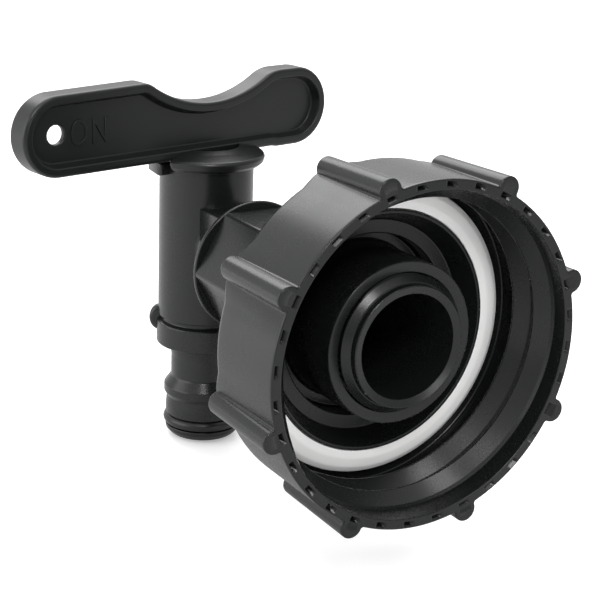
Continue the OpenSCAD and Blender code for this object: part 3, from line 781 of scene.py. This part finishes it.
@dataclass
class Inlet:
    """Tap's inlet: threaded pipe end, flange, shank, hexagon, disc and neck.

    The fields are sizes in millimetres and degrees. A name that ends in y is a place along the
    axis.
    """

    front_y: float = -9.85
    bore: float = 9.9
    pilot: float = 11.55
    root: float = 12.0
    crest: float = 12.95
    cone_y: float = -8.45
    flange: float = 15.5
    flange_y: float = 12.0
    flange_back_y: float = 14.5
    shank: float = 11.7
    hex_y: float = 28.1
    hex_length: float = 18.0
    hex_flats: float = 24.0
    hex_corner: float = 13.75
    disc_radius: float = 13.7
    disc_back_y: float = 47.2
    neck: float = 6.3
    neck_back_y: float = 59.3
    port: float = 4.4
    port_y: float = 45.2
    pipe_pitch: float = 1.814
    pipe_start: float = 200.0
    pipe_turns: float = 1.9
    pipe_foot_y: float = -7.6
    fillet: float = 1.2
    block_half: tuple[float, float] = (5.8, 9.6)
    block_hole: float = 5.2
    block_back_y: float = 59.4

    def turned_body(self) -> Shell:
        """Everything round about the cap axis, as one closed revolve.

        Returns:
            Closed surface.
        """
        disc_y, blunt = self.hex_y + self.hex_length, self.crest - 0.1
        return revolve(rounded([
            (self.bore, self.front_y + 0.45, 0.12), (self.pilot - 0.2, self.front_y, 0.2),
            (self.pilot, self.front_y + 0.2, 0.2), (self.pilot, self.cone_y, 0.1),
            (self.pilot + 0.25, self.cone_y + 0.1, 0.1), (self.crest, self.cone_y + 1.15, 0.15),
            (self.crest, self.cone_y + 1.35, 0.05), (self.root, self.cone_y + 1.55, 0.1),
            (self.root, self.cone_y + 3.05, 0.1), (blunt, self.cone_y + 3.85, 0.1),
            (blunt, self.flange_y, 0.1), (self.flange, self.flange_y, 0.3),
            (self.flange, self.flange_back_y, 0.3), (self.shank, self.flange_back_y, 0.4),
            (self.shank, disc_y, 0.2), (self.disc_radius, disc_y, 0.35),
            (self.disc_radius, self.disc_back_y, 0.5), (self.neck, self.disc_back_y, 0.8),
            (self.neck, self.neck_back_y, 0.1), (self.port, self.neck_back_y, 0.1),
            (self.port, self.port_y, 0.3), (self.bore, self.port_y, 0.8)]), Axis.CAP)

    def hexagon(self) -> Shell:
        """Hexagon with slightly rounded corners and broken ends.

        Formula: the radius at angle t is the half width over cos of the angle from the nearest
        flat's middle, cut by the corner radius. The columns crowd towards the corners.

        Returns:
            Closed surface.
        """
        base = np.linspace(-30, 30, 25)[:-1]
        base = np.sign(base) * 30 * (np.abs(base) / 30) ** 0.5
        angle = np.radians((np.arange(6)[:, None] * 60 + 30 + base[None]).reshape(-1, 1))
        off = np.degrees(angle) % 60 - 30
        reach = np.minimum(self.hex_flats / 2 / np.cos(np.radians(off)), self.hex_corner)
        inner, outer = 10.5, 12.5
        path = rounded([(inner, 0, 0.1), (outer, 0, 0.4), (outer, self.hex_length, 0.3),
                        (inner, self.hex_length, 0.1)])[None]
        radius = path[..., 0] + (reach - outer) * (path[..., 0] > (inner + outer) / 2)
        grid = polar(radius, angle, self.hex_y + path[..., 1], Axis.CAP)
        return Shell.from_grid(grid, True, True)

    def pipe_thread(self) -> Shell:
        """Fine pipe thread where it shows between the pilot end and the boss.

        Formula: a rounded ridge carried along a right-hand helix of the pipe's pitch, its height
        growing from nothing over the first hundred degrees.

        Returns:
            Closed surface.
        """
        height, sunk = self.crest - self.root, 0.2
        section = rounded([(-sunk, 0, 0), (height, 0.66, 0.16), (height, 0.98, 0.16),
                           (-sunk, 1.64, 0)], steps=4)[None]
        turned = np.linspace(0, 360 * self.pipe_turns, 220)[:, None]
        lift = section[..., 0] * np.where(section[..., 0] > 0, np.clip(turned / 100, 0.05, 1), 1)
        along = self.pipe_foot_y + self.pipe_pitch * turned / 360 + section[..., 1]
        grid = polar(self.root + lift, np.radians(self.pipe_start - turned), along, Axis.CAP)
        return Shell.from_grid(capped(grid), False, True)

    def neck_block(self) -> Shell:
        """Upright block round the neck, from the disc to the barrel's wall.

        Formula: the radius at angle t is the smaller of half width / |cos t| and half height /
        |sin t|, which is a rectangle, and a round hole through it leaves the water way free.

        Returns:
            Closed surface.
        """
        angle, guard = full_turn(360) + 1e-4, 0.1
        wide, high = self.block_half
        reach = np.minimum(wide / np.abs(np.cos(angle)), high / np.abs(np.sin(angle)))
        hole = np.full(reach.shape, self.block_hole)
        front_y, back_y = self.disc_back_y - 0.6, self.block_back_y
        radius = np.concatenate([hole, reach - guard, reach, reach, reach - guard, hole], axis=1)
        along = np.array([front_y, front_y, front_y + guard, back_y - guard, back_y, back_y])[None]
        return Shell.from_grid(polar(radius, angle, along, Axis.CAP), True, True)

    def neck_fillet(self, barrel: float) -> Shell:
        """Hollow round where the neck meets the barrel.

        Formula: a ball of the fillet's radius rolls in the corner. Its centre is neck + fillet from
        the cap axis and barrel + fillet from the barrel's axis, and the surface is the arc between
        its two touching points, closed behind by a point inside the corner.

        Args:
            barrel: the barrel's radius.

        Returns:
            Closed surface.
        """
        turn, f = full_turn(96), self.fillet
        x, z = (self.neck + f) * np.cos(turn), (self.neck + f) * np.sin(turn)
        y = BARREL_Y - np.sqrt((barrel + f) ** 2 - x**2)
        centre = np.concatenate([x, y, z], axis=1)
        on_neck = np.concatenate([self.neck * np.cos(turn), y, self.neck * np.sin(turn)], axis=1)
        shrink = barrel / (barrel + f)
        on_barrel = np.concatenate([x * shrink, BARREL_Y + (y - BARREL_Y) * shrink, z], axis=1)
        t = np.linspace(0, 1, 9)[None, :, None]
        ray = (on_neck - centre)[:, None] * (1 - t) + (on_barrel - centre)[:, None] * t
        arc = centre[:, None] + f * ray / np.linalg.norm(ray, axis=-1, keepdims=True)
        inside = 0.93 * on_neck
        inside[:, 1] = on_barrel[:, 1] + 0.2
        grid = np.concatenate([arc, inside[:, None]], axis=1)
        return Shell.from_grid(grid, True, True)


@dataclass
class Barrel:
    """Upright barrel with its collar, ear, stop lug and quick-connect spigot.

    The fields are sizes in millimetres and degrees. Tops, feet and names that end in z are heights.
    """

    radius: float = 10.05
    top: float = 18.6
    chamber: float = 8.0
    chamber_floor: float = -16.0
    collar: float = 10.35
    collar_top: float = -17.5
    collar_foot: float = -22.6
    outlet: float = 5.0
    latch: float = 7.1
    latch_z: float = -30.3
    bead: float = 8.6
    bead_top: float = -32.4
    bead_foot: float = -34.0
    spigot: float = 8.2
    ring_top: float = -39.1
    ring_foot: float = -41.6
    groove: float = 6.4
    tip: float = -43.8
    ring_radius: float = 7.55
    ring_section: float = 1.15
    ear_offset: float = 9.7
    ear_radius: float = 2.3
    ear_half: float = 1.3
    ear_stretch: float = 1.25
    ear_turn: float = 148.0
    stop_from: float = 154.0
    stop_to: float = 192.0
    stop_radius: float = 12.4
    stop_z: float = 17.2
    stop_half: tuple[float, float, float] = (2.0, 1.0, 1.4)

    def profile(self) -> np.ndarray:
        """Closed half section of the barrel and spigot."""
        waist, foot = self.radius - 0.8, self.bead_foot
        return rounded([
            (self.chamber, self.top, 0.3), (self.radius, self.top, 0.35),
            (self.radius, self.collar_top + 1.4, 0.1), (waist, self.collar_top + 1.2, 0.3),
            (waist, self.collar_top + 0.3, 0.3), (self.collar, self.collar_top - 0.1, 0.3),
            (self.collar, self.collar_foot, 0.4), (self.latch + 0.4, self.collar_foot, 0.5),
            (self.latch, self.collar_foot - 3.0, 1.0), (self.latch, self.latch_z, 1.0),
            (self.bead, self.bead_top, 0.6), (self.bead, foot, 0.4),
            (self.spigot - 0.2, foot - 1.0, 0.6), (self.spigot, foot - 3.0, 0.6),
            (self.spigot, self.ring_top, 0.25), (self.groove, self.ring_top, 0.1),
            (self.groove, self.ring_foot, 0.1), (self.spigot + 0.05, self.ring_foot, 0.2),
            (self.spigot, self.tip + 1.3, 0.5), (7.4, self.tip + 0.35, 0.5),
            (6.9, self.tip, 0.3), (self.outlet, self.tip, 0.3),
            (self.outlet, self.chamber_floor, 0.3), (self.chamber, self.chamber_floor, 0.3)])

    def stop_lug(self) -> Shell:
        """Stop lug at the barrel's top.

        Formula: a block with round edges is bent round the barrel: its first side lies along the
        radius, and its second side, from minus one to one, spans the lug's angle.

        Returns:
            Closed surface.
        """
        grid = block(self.stop_half, 0.35)
        middle, half = (self.stop_to + self.stop_from) / 2, (self.stop_to - self.stop_from) / 2
        radius = self.stop_radius - self.stop_half[0] + grid[..., 0]
        angle = np.radians(middle + grid[..., 1] * half)
        return Shell.from_grid(polar(radius, angle, self.stop_z + grid[..., 2], Axis.BARREL))

    def ear(self) -> Shell:
        """Ear on the collar's far left side, a thick round disc on edge.

        Formula: a section that is flat on both sides and round at its edge is turned about a level
        axis, stretched upwards, and the disc is turned to its place round the barrel.

        Returns:
            Closed surface.
        """
        path = rounded([
            (0.0, -self.ear_half, 0), (self.ear_radius, -self.ear_half, 1.1),
            (self.ear_radius, self.ear_half, 1.1), (0.0, self.ear_half, 0)], closed=False, steps=9)
        turn = full_turn(64)
        x = self.ear_offset + path[None, :, 0] * np.cos(turn)
        y = np.broadcast_to(BARREL_Y + path[None, :, 1], x.shape)
        z = self.collar_top - 0.1 + self.ear_stretch * path[None, :, 0] * np.sin(turn)
        return Shell.from_grid(np.stack([x, y, z], axis=-1), True, False).turned(self.ear_turn)

    def build(self, inlet: Inlet, finishes: Finishes) -> None:
        """Makes the tap body's pieces and the ring in the spigot's groove.

        Args:
            inlet: the tap's inlet.
            finishes: all the finishes.
        """
        barrel = revolve(self.profile(), Axis.BARREL)
        body = barrel.piece("barrel_and_spigot", TAP_BODY, BLACK_SLOT, finishes.body)
        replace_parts(body, "tap_body")
        for name, shell in {
            "inlet": inlet.turned_body(), "hexagon": inlet.hexagon(),
            "pipe_thread": inlet.pipe_thread(), "neck_fillet": inlet.neck_fillet(self.radius),
            "neck_block": inlet.neck_block(), "stop_lug": self.stop_lug(), "ear": self.ear(),
        }.items():
            shell.piece(name, TAP_BODY, BLACK_SLOT, finishes.body)
        around = full_turn(32).T
        radius = self.ring_radius + self.ring_section * np.cos(around)
        height = (self.ring_top + self.ring_foot) / 2 + self.ring_section * np.sin(around)
        seal = Shell.from_grid(polar(radius, full_turn(96), height, Axis.BARREL), True, True)
        ring = seal.piece("spigot_seal", TAP_BODY, RUBBER_SLOT, finishes.rubber)
        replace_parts(ring, "spigot_ring")


@dataclass
class Lever:
    """Lever with its plate, raised word, hub, skirt and plug.

    The fields are sizes in millimetres and degrees. Reaches are measured from the barrel's axis and
    heights from the plate's base, apart from base and skirt_z, which are heights in the row frame.
    """

    turn: float = 10.0
    base: float = 19.35
    thickness: float = 5.6
    web: float = 1.4
    rim: float = 1.9
    draft: float = 0.65
    edge: float = 1.5
    long_radius: float = 8.25
    long_reach: float = 38.5
    top_slope: float = 1.15
    knob_radius: float = 8.45
    knob_reach: float = 20.4
    knob_stretch: float = 2.26
    knob_height: float = 8.2
    waist_radius: float = 27.2
    waist_height: float = 11.4
    shoulder: float = 5.0
    hole: float = 1.95
    hole_inset: float = 0.3
    hub: float = 7.6
    skirt: float = 12.4
    skirt_z: float = 17.6
    plug_radius: float = 7.9
    plug_bore: float = 5.4
    plug_foot: float = -15.4
    gap_from: float = 72.0
    gap_to: float = 204.0
    long_steps: int = 48
    hole_columns: int = 32
    web_rows: int = 8
    word_size: float = 7.6
    word_at: tuple[float, float] = (-35.0, 5.6)
    word_width: float = 0.7

    def outline(self, inset: float) -> tuple[np.ndarray, np.ndarray]:
        """Lower and upper edge of the plate moved inwards, with equal numbers of points.

        Formula: arcs of the long end, the stretched knob, the hollow and the shoulder, whose radii
        shrink or grow by the inset about fixed centres, joined by straight sides. The shoulder's
        circle touches the sloping top side and the hollow's circle.

        Args:
            inset: distance inwards from the true outline.

        Returns:
            Points (u, v) of both edges from the tip of the long end to the knob's far side, with u
            from the barrel's axis towards the knob and v up from the base.
        """
        def arc(u: float, v: float, r: float, start: float, end: float, steps: int) -> np.ndarray:
            """Points of an arc, both ends included."""
            a = np.linspace(start, end, steps + 1)
            return np.stack([u + r * np.cos(a), v + r * np.sin(a)], axis=1)

        quarter, slope = math.pi / 2, math.radians(self.top_slope)
        left, right = self.knob_reach - self.knob_stretch, self.knob_reach + self.knob_stretch
        waist_v = self.waist_height + self.waist_radius
        reach = self.waist_radius + self.knob_radius
        waist_u = left - math.sqrt(reach**2 - (waist_v - self.knob_height) ** 2)
        way = np.array([math.cos(slope), math.sin(slope)])
        out = np.array([-math.sin(slope), math.cos(slope)])
        line = (self.long_radius - self.shoulder) * out + (-self.long_reach, self.long_radius)
        off = np.array([waist_u, waist_v]) - line
        run = off @ way - math.sqrt((self.waist_radius + self.shoulder) ** 2 - (off @ out) ** 2)
        crest_u, crest_v = line + run * way
        knob_turn = math.atan2(waist_v - self.knob_height, waist_u - left)
        crest_turn = math.atan2(waist_v - crest_v, waist_u - crest_u)
        end_r, knob_r = self.long_radius - inset, self.knob_radius - inset
        foot_turn = -math.pi - math.asin((inset - self.knob_height) / knob_r)

        half = self.long_steps // 2
        low_end = arc(-self.long_reach, self.long_radius, end_r, math.pi, 3 * quarter, half)
        foot = arc(left, self.knob_height, knob_r, foot_turn, -quarter, 6)
        low_knob = arc(right, self.knob_height, knob_r, -quarter, 0, 24)
        top_end = arc(-self.long_reach, self.long_radius, end_r, math.pi, quarter + slope, half)
        crest = arc(crest_u, crest_v, self.shoulder - inset, quarter + slope, crest_turn, 12)
        waist = arc(waist_u, waist_v, self.waist_radius + inset,
                    crest_turn - math.pi, knob_turn - math.pi, 32)
        crown = arc(left, self.knob_height, knob_r, knob_turn, quarter, 8)
        top_knob = arc(right, self.knob_height, knob_r, quarter, 0, 24)
        side = np.linspace(0, 1, 22)[1:-1, None]
        top_side = top_end[-1] + (crest[0] - top_end[-1]) * side
        upper = np.concatenate([top_end, top_side, crest, waist[1:], crown[1:], top_knob])
        spare = len(upper) - len(low_end) - len(foot) - len(low_knob)
        share = np.linspace(0, 1, spare + 2)[1:-1, None]
        low_side = low_end[-1] + (foot[0] - low_end[-1]) * share
        return np.concatenate([low_end, low_side, foot, low_knob]), upper

    def upright(self, flat: np.ndarray, out: np.ndarray) -> np.ndarray:
        """Points of the plate in the row frame.

        Formula: u runs along the plate, which is turned about the barrel's axis, and v upwards.

        Args:
            flat: points (u, v).
            out: distance of each towards the near side of the plate's middle plane.

        Returns:
            Array of points with a last dimension of three.
        """
        turn = math.radians(self.turn)
        u, v, out = np.broadcast_arrays(flat[..., 0], flat[..., 1], out)
        return np.stack([
            u * math.cos(turn) + out * math.sin(turn),
            BARREL_Y + u * math.sin(turn) - out * math.cos(turn), self.base + v], axis=-1)

    def plate(self) -> Shell:
        """Plate with rounded rim, recessed web and lanyard hole, as patches that share their edges.

        Formula: the rim is rings of the outline, whose inset and height above the middle plane
        follow a rounded section from one web over the edge to the other. Each web is laid in
        columns between its lower and upper edge, and near the tip in rays from the hole's edge.

        Returns:
            The patches, not yet turned outwards.
        """
        half, floor = self.thickness / 2, self.web / 2
        deep = self.rim + self.draft
        section = rounded([
            (deep + 0.5, floor, 0), (deep, floor, 0.35), (self.rim, half, 0.3),
            (0.0, half, self.edge), (0.0, -half, self.edge), (self.rim, -half, 0.3),
            (deep, -floor, 0.35), (deep + 0.5, -floor, 0)], closed=False, steps=7)
        rings = []
        for inset, out in section:
            lower, upper = self.outline(float(inset))
            rings.append(self.upright(np.concatenate([lower, upper[-2:0:-1]]), np.array(out)))
        shell = Shell.from_grid(np.stack(rings), False, True)

        lower, upper = self.outline(float(section[0][0]))
        share = np.linspace(0, 1, self.web_rows + 1)[:, None, None]
        k = self.hole_columns
        columns = lower[k:] + (upper[k:] - lower[k:]) * share
        border = np.concatenate([upper[k:0:-1], lower[:k + 1], columns[1:-1, 0]])
        centre = np.array([self.hole_inset - self.long_reach, self.long_radius])
        ray = border - centre
        ray /= np.linalg.norm(ray, axis=1, keepdims=True)
        for side in (1, -1):
            out = np.array(side * floor)
            rows = np.array([0.45, 0.2, 0.06, 0.0])
            sunk = np.array([0.0, 0.02, 0.16, 0.35])
            edge = centre + ray * (self.hole + rows)[:, None, None]
            mouth = self.upright(edge, side * (floor - sunk)[:, None])
            middle = self.upright(edge[-1:], np.array(0.0))
            fan = np.concatenate([self.upright(border, out)[None], mouth, middle])
            shell += Shell.from_grid(self.upright(columns, out), False, False)
            shell += Shell.from_grid(fan, False, True)
        return shell

    def word(self, finish: bpy.types.Material) -> None:
        """Raised word on the near side of the web, as a mesh made from generic lettering.

        Args:
            finish: finish of the lever.
        """
        curve = bpy.data.curves.new("word_curve", "FONT")
        curve.body = "ON"
        curve.size = self.word_size * MM
        curve.extrude = 0.08 * MM
        curve.bevel_depth = 0.12 * MM
        curve.offset = -0.1 * MM
        curve.space_character = 1.25
        holder = bpy.data.objects.new("word_holder", curve)
        bpy.context.scene.collection.objects.link(holder)
        bpy.context.view_layer.update()
        mesh = bpy.data.meshes.new_from_object(holder)
        bpy.data.objects.remove(holder)
        c, s = math.cos(math.radians(self.turn)), math.sin(math.radians(self.turn))
        place = Matrix(((c, 0, s, 0), (s, 0, -c, BARREL_Y * MM), (0, 1, 0, self.base * MM),
                        (0, 0, 0, 1)))
        start = Matrix.Translation(Vector((*self.word_at, self.web / 2 + 0.05)) * MM)
        narrow = Matrix.Diagonal((self.word_width, 1.0, 1.0, 1.0))
        mesh.transform(place @ start @ narrow)
        mesh.name = "lever_word"
        mesh.materials.clear()
        mesh.materials.append(finish)
        piece = bpy.data.objects.new("lever_word", mesh)
        bpy.context.scene.collection.objects.link(piece)
        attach(piece, LEVER_BODY)

    def skirt_ring(self) -> Shell:
        """Skirt under the plate, open where the body's stop lug stands.

        Formula: a section with a domed back and a hollow underside is turned about the barrel's
        axis from one side of the gap to the other.

        Returns:
            Closed surface.
        """
        inner, hollow, foot = 6.8, 10.3, self.skirt_z - 0.2
        section = rounded([
            (inner, self.skirt_z + 1.2, 0.1), (hollow, self.skirt_z + 1.2, 0.1),
            (hollow, foot, 0.1), (self.skirt - 1.1, foot, 0.25),
            (self.skirt - 0.3, self.skirt_z + 0.5, 0.6),
            (self.skirt, self.base - 0.2, 0.6), (self.skirt - 0.4, self.base + 0.45, 0.5),
            (8.6, self.base + 1.3, 0.8), (inner, self.base + 1.9, 0.1)])
        angle = np.radians(np.linspace(self.gap_to, 360 + self.gap_from, 110))[:, None]
        return Shell.from_grid(capped(swept(section, angle, Axis.BARREL)))

    def plug(self) -> Shell:
        """Hub and hollow plug as one closed revolve."""
        neck_z, roof_z = 17.3, 6.0
        return revolve(rounded([
            (0.0, self.base + 0.5, 0), (self.hub, self.base + 0.5, 0.3), (self.hub, neck_z, 0.1),
            (self.plug_radius, neck_z, 0.2), (self.plug_radius, self.plug_foot, 0.2),
            (self.plug_bore, self.plug_foot, 0.2), (self.plug_bore, roof_z, 0.5),
            (0.0, roof_z, 0)], closed=False), Axis.BARREL, 128)

    def build(self, finishes: Finishes) -> None:
        """Makes the lever's pieces.

        Args:
            finishes: all the finishes.
        """
        plate = self.plate().piece("lever_plate", LEVER_BODY, LEVER_SLOT, finishes.lever, True)
        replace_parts(plate, "lever")
        self.skirt_ring().piece("lever_skirt", LEVER_BODY, LEVER_SLOT, finishes.lever)
        self.plug().piece("plug", LEVER_BODY, LEVER_SLOT, finishes.lever)
        self.word(finishes.lever)


@dataclass(frozen=True)
class Camera:
    """Camera at the photograph's place, in the row frame.

    Args:
        spot: place in millimetres.
        azimuth: turn about the vertical in degrees, nought looking along +Y.
        elevation: height of the view above the horizon in degrees.
        roll: turn of the picture in degrees.
        focal_px: focal length in picture pixels.
        width_px: width of the picture.
    """

    spot: tuple[float, float, float] = (-162.88, -235.50, 96.69)
    azimuth: float = -31.741
    elevation: float = 17.677
    roll: float = 2.0385
    focal_px: float = 1650.24
    width_px: float = 600.0

    def build(self) -> None:
        """Makes the camera and sets it as the scene's.

        Formula: the azimuth and elevation give the axis from the object to the camera, and the roll
        turns the picture's axes about it. The lens is the focal length as a share of the width.
        """
        a, e, r = (math.radians(v) for v in (self.azimuth, self.elevation, self.roll))
        back = Vector((math.sin(a) * math.cos(e), -math.cos(a) * math.cos(e), math.sin(e)))
        right = Vector((math.cos(a), math.sin(a), 0))
        up = back.cross(right)
        x = right * math.cos(r) + up * math.sin(r)
        y = up * math.cos(r) - right * math.sin(r)
        data = bpy.data.cameras.new("camera")
        data.sensor_width = 36.0
        data.lens = self.focal_px / self.width_px * data.sensor_width
        data.clip_start, data.clip_end = 0.01, 20.0
        camera = bpy.data.objects.new("camera", data)
        turn = Matrix((x, y, back)).transposed().to_4x4()
        camera.matrix_world = Matrix.Translation(Vector(self.spot) * MM) @ turn
        bpy.context.scene.collection.objects.link(camera)
        bpy.context.scene.camera = camera


@dataclass(frozen=True)
class Lamp:
    """Soft rectangular lamp.

    Args:
        name: the lamp's name.
        spot: place in metres.
        size: side in metres.
        power: power in watts.
    """

    name: str
    spot: tuple[float, float, float]
    size: float
    power: float

    def build(self, aim: Vector) -> None:
        """Makes the lamp.

        Args:
            aim: point that it faces, in metres.
        """
        data = bpy.data.lights.new(self.name, "AREA")
        data.shape = "SQUARE"
        data.size = self.size
        data.energy = self.power
        lamp = bpy.data.objects.new(self.name, data)
        lamp.location = self.spot
        lamp.rotation_mode = "QUATERNION"
        lamp.rotation_quaternion = (aim - Vector(self.spot)).to_track_quat("-Z", "Y")
        bpy.context.scene.collection.objects.link(lamp)


@dataclass
class Studio:
    """Pale floor, white surroundings and soft lamps.

    Args:
        floor_z: height of the floor in metres.
        reach: half of the floor's side in metres.
        ambient: level at which the surroundings light the object.
        near_level: level of the camera's side of the room in reflections.
        far_level: level of the backdrop's side in reflections.
        backdrop: direction of the backdrop, as a unit vector.
        lamps: the soft lamps.
    """

    floor_z: float = -0.0445
    reach: float = 6.0
    ambient: float = 0.85
    near_level: float = 0.36
    far_level: float = 0.86
    backdrop: tuple[float, float, float] = (-0.22, 0.66, 0.72)
    lamps: tuple[Lamp, ...] = (
        Lamp("left_box", (-0.9, 0.25, 0.2), 0.9, 4.2),
        Lamp("top_box", (0.2, 0.6, 0.85), 1.0, 9.0),
        Lamp("key_box", (-0.38, -0.87, 0.88), 0.32, 4.5),
        Lamp("high_box", (0.10, -0.43, 1.22), 0.3, 1.7),
        Lamp("mouth_box", (0.30, -1.24, 0.07), 0.25, 0.9),
    )

    def reflected(self, graph: Graph, kind: str) -> Value:
        """Level of the room in a reflection, rising from the camera's side to the backdrop's.

        Formula: the coordinates' dot product with the backdrop's direction, as a smooth step.

        Args:
            graph: the tree.
            kind: kind of the coordinates.

        Returns:
            The level.
        """
        facing = graph.node("ShaderNodeVectorMath", {"operation": "DOT_PRODUCT"},
                            {0: graph.place(kind), 1: self.backdrop}, "Value")
        return facing.rise(-0.35, 0.55) * (self.far_level - self.near_level) + self.near_level

    def surroundings(self) -> None:
        """World that looks white to the camera, and lights the object at a plain level."""
        world = bpy.data.worlds.new("surroundings")
        bpy.context.scene.world = world
        graph = Graph(world)
        glossy, lit = graph.ray("Glossy"), self.reflected(graph, "Generated")
        white = (graph.ray("Camera") + graph.ray("Transmission")).clipped()
        hidden = 1.0 - white
        level = white + hidden * glossy * lit + hidden * (1.0 - glossy) * self.ambient
        sky = graph.node("ShaderNodeBackground", {}, {"Color": (1, 1, 1, 1), "Strength": level})
        graph.finish(sky, "ShaderNodeOutputWorld")

    def floor(self) -> None:
        """Wide pale floor that keeps the object's shadow and meets the white surroundings.

        Formula: to the camera it is a matt pale face with a glow. A glossy ray meets it at the level
        of the room in that direction, as painted light: darker on the camera's side, glowing on the
        backdrop's.
        """
        mesh = bpy.data.meshes.new("floor")
        sides = ((-1, -1), (1, -1), (1, 1), (-1, 1))
        corners = [(self.reach * x, self.reach * y, self.floor_z) for x, y in sides]
        mesh.from_pydata(corners, [], [(0, 1, 2, 3)])
        graph = Graph(bpy.data.materials.new("pale_floor"))
        glossy, lit = graph.ray("Glossy"), self.reflected(graph, "Object")
        # painted light: in reflections the floor's colour is darkened towards the camera's side and
        # it glows towards the backdrop's side
        glow = graph.ray("Camera") * 0.35 + glossy * lit * 0.2
        tone = graph.mix(1.0 - glossy * (1.0 - lit), (0, 0, 0, 1), (0.9, 0.9, 0.9, 1))
        pale = graph.node("ShaderNodeBsdfDiffuse", {}, {"Color": tone})
        light = graph.node("ShaderNodeEmission", {}, {"Color": (1, 1, 1, 1), "Strength": glow})
        surface = graph.node("ShaderNodeAddShader", {}, {0: pale, 1: light})
        mesh.materials.append(graph.finish(surface))
        floor = bpy.data.objects.new("floor", mesh)
        bpy.context.scene.collection.objects.link(floor)

    def build(self) -> None:
        """Makes the studio."""
        bpy.context.scene.view_settings.view_transform = "Standard"
        self.surroundings()
        self.floor()
        for lamp in self.lamps:
            lamp.build(Vector((0, 0.02, 0)))


def dress_hidden_nodes(finishes: Finishes) -> None:
    """Gives the rubber nodes that stay as they are their finish.

    Args:
        finishes: all the finishes.
    """
    for name in ("inlet_seal", "plug_upper_ring", "plug_lower_ring", "port_seal"):
        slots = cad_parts[name].data.materials
        slots.clear()
        slots.append(finishes.rubber)


def main() -> None:
    """Builds the adapter in order and reports each piece."""
    logging.basicConfig(level=logging.INFO, format="%(name)s: %(message)s")
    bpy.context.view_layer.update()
    Camera().build()
    Studio().build()
    finishes = Finishes()
    Cap().build(finishes)
    Washer().build(finishes)
    Barrel().build(Inlet(), finishes)
    Lever().build(finishes)
    dress_hidden_nodes(finishes)


if __name__ == "__main__":
    main()
